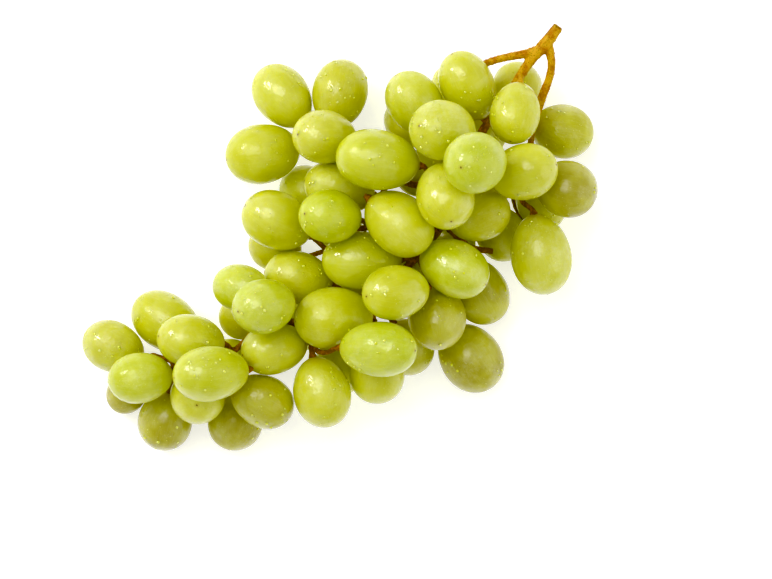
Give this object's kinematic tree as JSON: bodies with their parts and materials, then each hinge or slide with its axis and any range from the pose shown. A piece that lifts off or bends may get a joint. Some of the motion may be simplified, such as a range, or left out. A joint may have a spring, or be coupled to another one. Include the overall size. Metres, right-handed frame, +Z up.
{
  "type": "bunch of grapes",
  "caption": "Bunch of white table grapes lying on its side: oval berries crowding a branched woody stalk whose cut end shows beyond them.",
  "frame": {"origin": "middle of the bunch's outline at the height of the surface it lies on", "axes": "+Z up from that surface; the bunch lies along X and Y with its cut stem end towards +X +Y and its tip towards -X -Y"},
  "size_m": [0.172, 0.1428, 0.0755],
  "materials": {
    "skin": "waxy grape skin, yellow-green",
    "wood": "raw orange-brown stem"
  },
  "bodies": {
    "root": {"stalk": "wood", "berry_tip_01": "skin", "berry_tip_02": "skin", "berry_tip_03": "skin", "berry_tip_04": "skin", "berry_tip_05": "skin", "berry_tip_06": "skin", "berry_tip_07": "skin", "berry_tip_08": "skin", "berry_tip_09": "skin", "berry_tip_10": "skin", "berry_tip_11": "skin", "berry_tip_12": "skin", "berry_left_01": "skin", "berry_left_02": "skin", "berry_left_03": "skin", "berry_left_04": "skin", "berry_left_05": "skin", "berry_left_06": "skin", "berry_left_07": "skin", "berry_front_01": "skin", "berry_front_02": "skin", "berry_front_03": "skin", "berry_front_04": "skin", "berry_front_05": "skin", "berry_front_06": "skin", "berry_front_07": "skin", "berry_front_08": "skin", "berry_right_01": "skin", "berry_right_02": "skin", "berry_right_03": "skin", "berry_right_04": "skin", "berry_right_05": "skin", "berry_right_06": "skin", "berry_right_07": "skin", "berry_right_08": "skin", "berry_right_09": "skin", "berry_right_10": "skin", "berry_right_11": "skin", "berry_right_12": "skin", "berry_right_13": "skin", "berry_neck_01": "skin", "berry_neck_02": "skin", "berry_neck_03": "skin", "berry_neck_04": "skin", "berry_neck_05": "skin", "berry_neck_06": "skin", "berry_neck_07": "skin", "berry_neck_08": "skin", "berry_neck_09": "skin", "berry_neck_10": "skin", "berry_shoulder_01": "skin", "berry_shoulder_02": "skin", "berry_shoulder_03": "skin", "berry_shoulder_04": "skin", "berry_shoulder_05": "skin", "berry_shoulder_06": "skin", "berry_shoulder_07": "skin", "berry_shoulder_08": "skin"}
  },
  "joints": []
}
